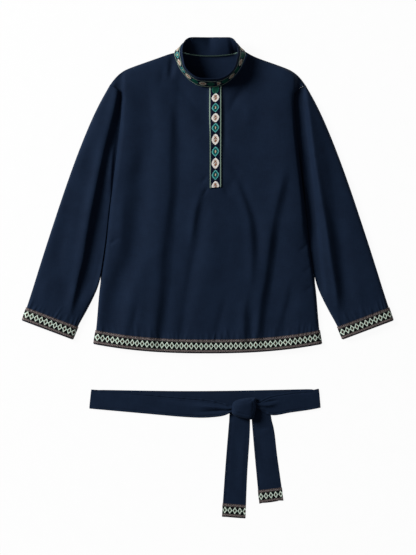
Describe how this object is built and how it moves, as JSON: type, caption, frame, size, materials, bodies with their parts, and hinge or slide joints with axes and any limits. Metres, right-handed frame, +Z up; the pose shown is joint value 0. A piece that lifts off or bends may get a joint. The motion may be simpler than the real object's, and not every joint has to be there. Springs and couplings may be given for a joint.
{
  "type": "stand-collar tunic with tied belt",
  "caption": "Pull-on tunic laid flat: stand collar, off-centre ribbon placket, ribbon-trimmed hem and cuffs, with its own tied belt laid below it.",
  "frame": {"origin": "on the surface, under the middle of the whole layout of tunic and belt", "axes": "+X across the garment to the viewer's right, +Y from the belt towards the collar, +Z up from the surface"},
  "size_m": [0.8918, 1.1544, 0.0564],
  "materials": {
    "navy_cotton": "fine matt cotton, navy",
    "navy_belt": "doubled fine matt cotton, navy, stitched near its edges",
    "oval_ribbon": "woven ribbon, cream and teal ovals on navy",
    "lozenge_ribbon": "woven ribbon, cream and mint lozenges on black, taupe edges",
    "green_piping": "pale green woven strip"
  },
  "bodies": {
    "root": {"front": "navy_cotton", "back": "navy_cotton", "sleeve_left": "navy_cotton", "sleeve_right": "navy_cotton", "collar": "navy_cotton", "placket": "navy_cotton", "neck_piping": "green_piping", "collar_ribbon": "oval_ribbon", "placket_ribbon": "oval_ribbon", "hem_ribbon": "lozenge_ribbon", "cuff_ribbon_left": "lozenge_ribbon", "cuff_ribbon_right": "lozenge_ribbon", "belt_back": "navy_belt", "belt_front_left": "navy_belt", "belt_front_right": "navy_belt", "belt_knot": "navy_belt", "belt_tail_left": "navy_belt", "belt_tail_right": "navy_belt", "belt_ribbon_left": "lozenge_ribbon", "belt_ribbon_right": "lozenge_ribbon"}
  },
  "joints": []
}
